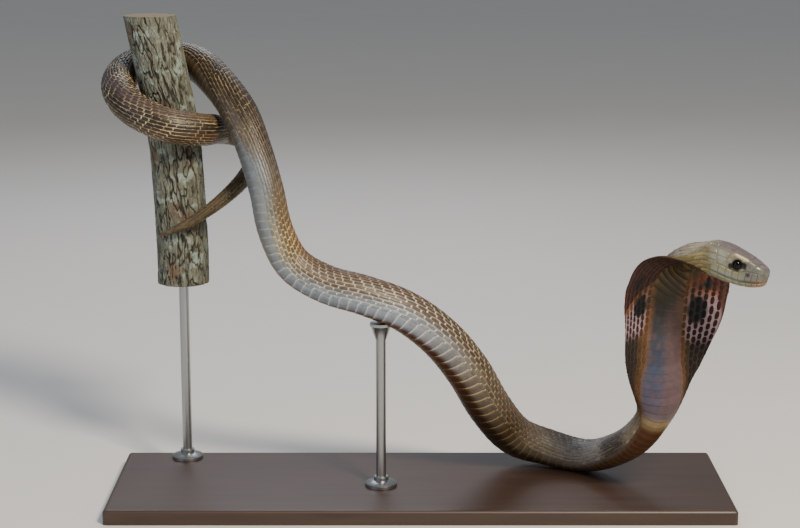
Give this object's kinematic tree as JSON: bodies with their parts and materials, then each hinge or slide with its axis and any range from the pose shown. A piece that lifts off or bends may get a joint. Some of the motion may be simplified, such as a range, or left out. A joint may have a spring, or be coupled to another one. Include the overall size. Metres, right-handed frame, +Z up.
{
  "type": "indian cobra",
  "caption": "Life-size still model of an Indian cobra that winds round a cut stem, runs down to a display base and rears up with its hood spread and its head turned sideways.",
  "frame": {"origin": "middle of the base board's underside", "axes": "+X to the side that the head points to, -Y to the front that the hood's belly side faces, +Z up"},
  "size_m": [0.52, 0.233, 0.388],
  "materials": {
    "pale_head_skin": "satin, smooth head shields",
    "hood_skin": "satin scales",
    "brown_skin": "satin scales with a grey sheen",
    "dark_eye": "wet gloss",
    "grey_bark": "rough fissured bark",
    "dark_wood": "satin dark stain",
    "brushed_steel": "brushed"
  },
  "bodies": {
    "root": {"head": "pale_head_skin", "eye_left": "dark_eye", "eye_right": "dark_eye", "hood": "hood_skin", "forebody": "brown_skin", "body_rise": "brown_skin", "body_bridge": "brown_skin", "body_climb": "brown_skin", "coil_back": "brown_skin", "coil_front": "brown_skin", "tail_base": "brown_skin", "tail_tip": "brown_skin", "perch_stem": "grey_bark", "stand_base": "dark_wood", "stand_rod_stem": "brushed_steel", "stand_rod_body": "brushed_steel"}
  },
  "joints": []
}
